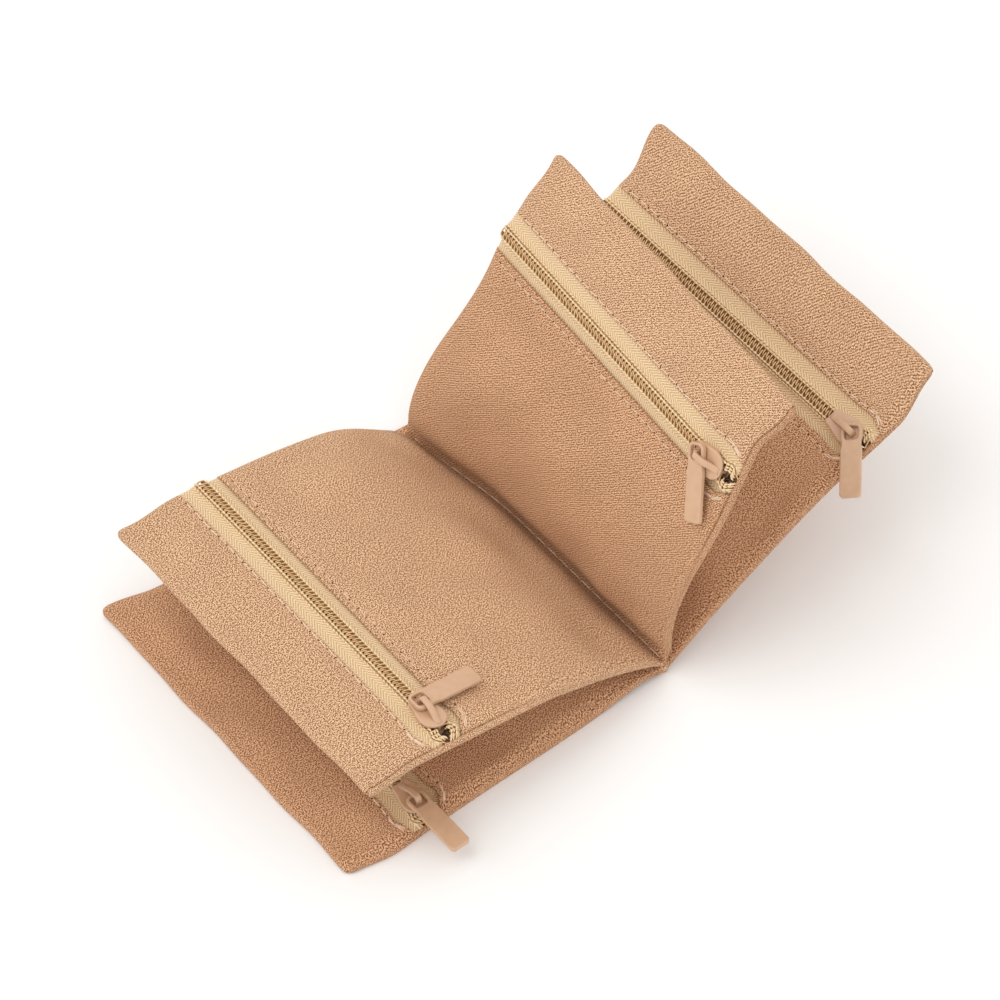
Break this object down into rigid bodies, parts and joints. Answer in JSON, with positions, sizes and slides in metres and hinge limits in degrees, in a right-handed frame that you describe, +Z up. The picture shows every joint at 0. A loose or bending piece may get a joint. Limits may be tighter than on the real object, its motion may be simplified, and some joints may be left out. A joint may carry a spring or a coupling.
{
  "type": "jewelry roll",
  "caption": "Folding jewelry roll: flat zippered suede pouches sewn together along one spine like the pages of a book, each with a coil zipper, slider and pull.",
  "frame": {"origin": "middle of the underside of the spine seam, on the surface that the roll lies on", "axes": "+Z up, +Y along the spine from the slider ends to the far ends of the zippers, +X towards the right pages"},
  "size_m": [0.1928, 0.127, 0.1026],
  "materials": {
    "suede": "tan suede-like cloth with a fine twill",
    "tape": "golden beige herringbone tape",
    "coil": "golden brown nylon coil",
    "paint": "satin peach beige paint"
  },
  "bodies": {
    "lower_left": {"spine_seam": "suede", "lower_left_front_panel": "suede", "lower_left_edge_strip": "suede", "lower_left_back_panel": "suede", "lower_left_tape_inner": "tape", "lower_left_tape_outer": "tape", "lower_left_coil_inner": "coil", "lower_left_coil_outer": "coil"},
    "upper_left": {"upper_left_front_panel": "suede", "upper_left_edge_strip": "suede", "upper_left_back_panel": "suede", "upper_left_tape_inner": "tape", "upper_left_tape_outer": "tape", "upper_left_coil_inner": "coil", "upper_left_coil_outer": "coil"},
    "upper_right": {"upper_right_front_panel": "suede", "upper_right_edge_strip": "suede", "upper_right_back_panel": "suede", "upper_right_tape_inner": "tape", "upper_right_tape_outer": "tape", "upper_right_coil_inner": "coil", "upper_right_coil_outer": "coil"},
    "lower_right": {"lower_right_front_panel": "suede", "lower_right_edge_strip": "suede", "lower_right_back_panel": "suede", "lower_right_tape_inner": "tape", "lower_right_tape_outer": "tape", "lower_right_coil_inner": "coil", "lower_right_coil_outer": "coil"},
    "slider_lower_left": {"lower_left_slider": "paint"},
    "slider_upper_left": {"upper_left_slider": "paint"},
    "slider_upper_right": {"upper_right_slider": "paint"},
    "slider_lower_right": {"lower_right_slider": "paint"},
    "pull_lower_left": {"lower_left_pull": "paint"},
    "pull_upper_left": {"upper_left_pull": "paint"},
    "pull_upper_right": {"upper_right_pull": "paint"},
    "pull_lower_right": {"lower_right_pull": "paint"}
  },
  "joints": [
    {"name": "upper_left_fold", "type": "hinge", "parent": "lower_left", "child": "upper_left", "pos_m": [-0.0015, 0, 0.0052], "axis": [0, 1, 0], "range_deg": [-9, 40]},
    {"name": "upper_right_fold", "type": "hinge", "parent": "lower_left", "child": "upper_right", "pos_m": [0.0015, 0, 0.0052], "axis": [0, 1, 0], "range_deg": [-34, 30]},
    {"name": "lower_right_fold", "type": "hinge", "parent": "lower_left", "child": "lower_right", "pos_m": [0.0024, 0, 0.0024], "axis": [0, 1, 0], "range_deg": [-20, 26]},
    {"name": "lower_left_zip", "type": "slide", "parent": "lower_left", "child": "slider_lower_left", "axis": [0, 1, 0], "range_m": [0, 0.082], "deforming": ["lower_left_coil_inner", "lower_left_coil_outer"]},
    {"name": "upper_left_zip", "type": "slide", "parent": "upper_left", "child": "slider_upper_left", "axis": [0, 1, 0], "range_m": [0, 0.082], "deforming": ["upper_left_coil_inner", "upper_left_coil_outer"]},
    {"name": "upper_right_zip", "type": "slide", "parent": "upper_right", "child": "slider_upper_right", "axis": [0.1016, 0.9935, -0.0507], "range_m": [0, 0.082], "deforming": ["upper_right_coil_inner", "upper_right_coil_outer"]},
    {"name": "lower_right_zip", "type": "slide", "parent": "lower_right", "child": "slider_lower_right", "axis": [-0.0233, 0.9985, 0.0489], "range_m": [0, 0.082], "deforming": ["lower_right_coil_inner", "lower_right_coil_outer"]},
    {"name": "lower_left_swivel", "type": "hinge", "parent": "slider_lower_left", "child": "pull_lower_left", "pos_m": [-0.0764, -0.0484, 0.0059], "axis": [0, 0, 1], "range_deg": [-120, 120]},
    {"name": "upper_left_swivel", "type": "hinge", "parent": "slider_upper_left", "child": "pull_upper_left", "pos_m": [-0.06956, -0.0411, 0.03453], "axis": [-0.1822, 0, -0.9833], "range_deg": [-210, 30]},
    {"name": "upper_right_swivel", "type": "hinge", "parent": "slider_upper_right", "child": "pull_upper_right", "pos_m": [0.00972, -0.0509, 0.07988], "axis": [-0.8891, 0.1135, 0.4433], "range_deg": [-238, 2]},
    {"name": "lower_right_swivel", "type": "hinge", "parent": "slider_lower_right", "child": "pull_lower_right", "pos_m": [0.06462, -0.0475, 0.04231], "axis": [0.4299, 0.0542, -0.9013], "range_deg": [-165, 75]}
  ]
}
